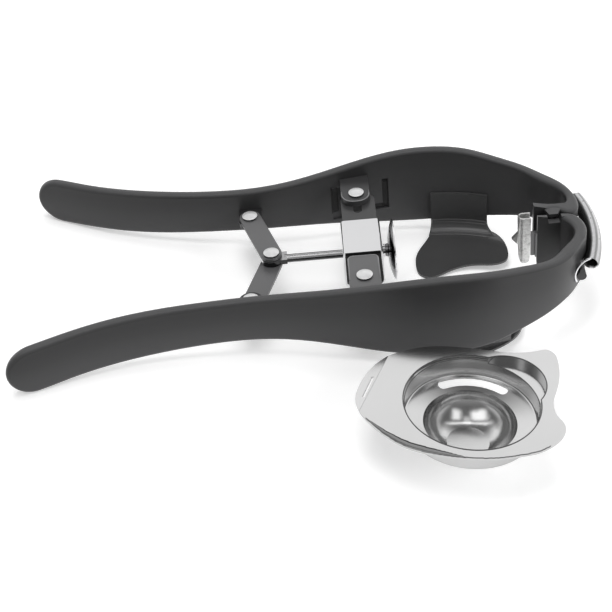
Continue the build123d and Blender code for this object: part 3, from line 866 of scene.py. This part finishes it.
class OPENER_OT_paddles(bpy.types.Operator):
    """Finishes the egg paddles and lays the round of their bend into the corner, in a lighter copy
    of their coating: a painted highlight
    """

    bl_idname = "opener.paddles"
    bl_label = "Egg paddles"

    def execute(self, context):
        colours = context.scene.opener_colours
        coating = coated_sheet("paddle_coating", colours.paddle, metal=0.3, roughness=0.13)
        # painted highlight: the bend takes a lighter copy of the paddles' coating
        crease_highlight = coated_sheet("paddle_crease_highlight", toned(colours.paddle, 1.3),
                              metal=0.35, roughness=0.15)
        for node, side in (("near_egg_paddle", -1), ("far_egg_paddle", 1)):
            give(coating, node)
            laid_sheet(node + "_bend", (28, 12),
                       lambda across, down: paddle_round(node, side, across, down),
                       thickness=0.00025, material=crease_highlight, rider=node)
        return {"FINISHED"}


class OPENER_OT_recess(bpy.types.Operator):
    """Lines the recess round each bracket's foot with dark strips of painted shadow along its edge
    """

    bl_idname = "opener.recess"
    bl_label = "Bracket recesses"

    def execute(self, context):
        colours = context.scene.opener_colours
        dark = coated_sheet("recess_shadow", colours.recess, metal=0.0, roughness=0.7)
        for node, side in (("near_handle", -1), ("far_handle", 1)):
            for label, (length, height) in RECESS_SHADOW_STRIPS.items():
                laid_sheet(f"{node}_recess_{label}", (8, 8),
                           lambda u, v: face_point(node, between(length, u), between(height, v),
                                                   side, RECESS_LIFT),
                           thickness=0.00012, material=dark, rider=node)
        return {"FINISHED"}


class OPENER_OT_bright(bpy.types.Operator):
    """Finishes the rod, sleeve, disc, rivets and blade in bright metal"""

    bl_idname = "opener.bright"
    bl_label = "Bright metal"

    def execute(self, context):
        colours = context.scene.opener_colours
        give(polished("chrome_steel", colours.chrome, roughness=0.07, streak=0.05),
             "guide_sleeve", "disc_nut")
        give(banded_steel("rod_steel", colours.chrome, ROD_LIGHT, ROD_PAINTED_BANDS,
                          metal=0.9, roughness=0.08), "push_rod")
        low, high = (Vector(corner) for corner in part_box("presser_disc"))
        radius = (high.y - low.y) / 2
        hub = place(DISC_FRONT, 0, DISC_HEIGHT)
        bm = bmesh.new()
        shape = [bm.verts.new((r, 0, x)) for r, x in DISC_SHAPE]
        edges = [bm.edges.new(pair) for pair in zip(shape, shape[1:])]
        bmesh.ops.spin(bm, geom=shape + edges, cent=(0, 0, 0), axis=(0, 0, 1),
                       angle=math.tau, steps=DISC_STEPS, use_merge=True, use_duplicate=False)
        bmesh.ops.scale(bm, verts=bm.verts, vec=(radius, radius, 0.001))
        facing = TILT.to_4x4() @ Matrix.Rotation(math.pi / 2, 4, "Y")
        bmesh.ops.transform(bm, verts=bm.verts, matrix=Matrix.Translation(hub) @ facing)
        disc = finished(bm, "presser_dish", disc_steel(colours.chrome, hub, ALONG, radius))
        disc.data.set_sharp_from_angle(angle=DISC_EDGE)
        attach(disc, BODY_OF["presser_disc"])
        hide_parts("presser_disc")
        give(rivet_steel(colours.rivet), "near_link_rivet", "far_link_rivet", "centre_rivet",
             "near_bracket_rivet", "far_bracket_rivet")
        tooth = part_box("piercing_blade")[0][0] + TOOTH_REACH
        give(galvanised(colours.zinc, tooth), "piercing_blade")
        return {"FINISHED"}


class OPENER_OT_spring(bpy.types.Operator):
    """Winds the return spring and finishes it and its end hooks"""

    bl_idname = "opener.spring"
    bl_label = "Return spring"

    def execute(self, context):
        colours = context.scene.opener_colours
        wire, outer = context.scene.opener_sizes.wire, context.scene.opener_sizes.coil
        give(polished("spring_steel", colours.chrome, roughness=0.18, streak=0.08),
             "return_spring", "near_spring_hook", "far_spring_hook")
        path = [place(*point) for point in SPRING_PATH]
        centre, radius, spoke, axis, sweep = arc_frame(*path)
        # wound straight up along z first
        reach = radius * sweep - wire
        turns = round(reach / (wire * TURN_PITCH))
        bm = bmesh.new()
        bmesh.ops.create_circle(bm, segments=WIRE_SIDES, radius=wire / 2,
                                matrix=Matrix.Rotation(math.pi / 2, 4, "X"))
        bmesh.ops.translate(bm, verts=bm.verts, vec=(outer - wire / 2, 0, 0))
        ends = list(bm.edges)
        bmesh.ops.contextual_create(bm, geom=ends)
        bmesh.ops.spin(bm, geom=ends, cent=(0, 0, 0), axis=(0, 0, 1), angle=math.tau * turns,
                       dvec=(0, 0, reach / (turns * TURN_STEPS)), steps=turns * TURN_STEPS,
                       use_duplicate=False)
        bmesh.ops.holes_fill(bm, edges=[e for e in bm.edges if e.is_boundary], sides=0)
        for face in bm.faces:
            middle = face.calc_center_median()
            # the end turns keep one bright finish
            wound = wire < middle.z < reach - 1.5 * wire
            # the inner faces of the wound turns take painted shade
            shaded_inside = middle.to_2d().length < outer - 0.65 * wire
            face.material_index = int(wound and shaded_inside)
        # then bent onto its arc
        for vert in bm.verts:
            x, y, z = vert.co
            turn = Matrix.Rotation((z + wire / 2) / radius, 3, axis)
            vert.co = centre + turn @ (spoke * (radius + x)) + axis * y
        coil = finished(bm, "spring_coil",
                        coil_steel(colours.chrome, centre, radius, axis, outer))
        # painted shade inside the coil
        coil.data.materials.append(
            coated_sheet("coil_inside_shade", colours.recess, metal=0.3, roughness=0.5))
        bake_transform(coil)
        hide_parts("return_spring")
        return {"FINISHED"}


class OPENER_OT_cup(bpy.types.Operator):
    """Finishes the separator cup in polished stainless sheet, with painted shade on its walls and
    on its edge lines and rolled band
    """

    bl_idname = "opener.cup"
    bl_label = "Separator cup"

    def execute(self, context):
        colour = context.scene.opener_colours.cup
        # the cup's upright walls are darkened: painted shade
        give(polished("cup_steel", colour, roughness=0.14, streak=0.06, wall=0.6),
             "separator_cup")
        # the edge lines and the rolled band are darkened copies of the cup's steel: painted shade
        shade = polished("cup_lip", toned(colour, 0.22), roughness=0.25, streak=0.05)
        rolled = polished("cup_roll", toned(colour, 0.4), roughness=0.22, streak=0.06)
        # where the rings of the hole and of the pocket cross, seen from each middle
        x, y, radius = CUP_POCKET
        apart, bearing = math.hypot(x, y), math.atan2(y, x)
        along = (CUP_HOLE ** 2 - radius ** 2 + apart ** 2) / (2 * apart)
        half = math.sqrt(CUP_HOLE ** 2 - along ** 2)
        wide, narrow = math.atan2(half, along), math.atan2(half, along - apart)
        round_start, round_end = bearing + wide, bearing - wide + math.tau
        hole = (0, 0, CUP_HOLE)
        lip = cup_arc(hole, round_start, round_end, CUP_LIP_Z)
        lip += cup_arc(CUP_POCKET, bearing - narrow, bearing + narrow, CUP_LIP_Z)
        lip.append(lip[0])
        step = cup_arc(hole, bearing - wide, bearing + wide, CUP_STEP_Z)
        wall = cup_arc((0, 0, CUP_HOLE - CUP_WALL_INSET), round_start, round_end, CUP_WALL_Z)
        bead("cup_lip", lip, CUP_LIP_RADIUS, shade, "separator_cup")
        bead("pocket_step", step, CUP_STEP_RADIUS, shade, "separator_cup")
        bead("cup_wall_line", wall, CUP_WALL_RADIUS, shade, "separator_cup")
        laid_sheet("cup_roll", (110, 3), rolled_edge, thickness=0.00008, material=rolled,
                   rider="separator_cup")
        return {"FINISHED"}


STEPS = (OPENER_OT_stage, OPENER_OT_handles, OPENER_OT_linkage, OPENER_OT_paddles,
         OPENER_OT_recess, OPENER_OT_bright, OPENER_OT_spring, OPENER_OT_cup)


class OPENER_PT_panel(bpy.types.Panel):
    """Lists the opener's settings and steps"""

    bl_label = "Egg opener"
    bl_idname = "OPENER_PT_panel"
    bl_space_type = "VIEW_3D"
    bl_region_type = "UI"
    bl_category = "Egg opener"

    def draw(self, context):
        for group in (context.scene.opener_colours, context.scene.opener_sizes):
            for key in group.__annotations__:
                self.layout.prop(group, key)
        for step in STEPS:
            self.layout.operator(step.bl_idname)


CLASSES = (OpenerColours, OpenerSizes, *STEPS, OPENER_PT_panel)


def register():
    for cls in CLASSES:
        bpy.utils.register_class(cls)
    bpy.types.Scene.opener_colours = bpy.props.PointerProperty(type=OpenerColours)
    bpy.types.Scene.opener_sizes = bpy.props.PointerProperty(type=OpenerSizes)


def unregister():
    del bpy.types.Scene.opener_colours
    del bpy.types.Scene.opener_sizes
    for cls in reversed(CLASSES):
        bpy.utils.unregister_class(cls)


def main():
    register()
    for step in STEPS:
        family, name = step.bl_idname.split(".")
        getattr(getattr(bpy.ops, family), name)()


if __name__ == "__main__":
    main()
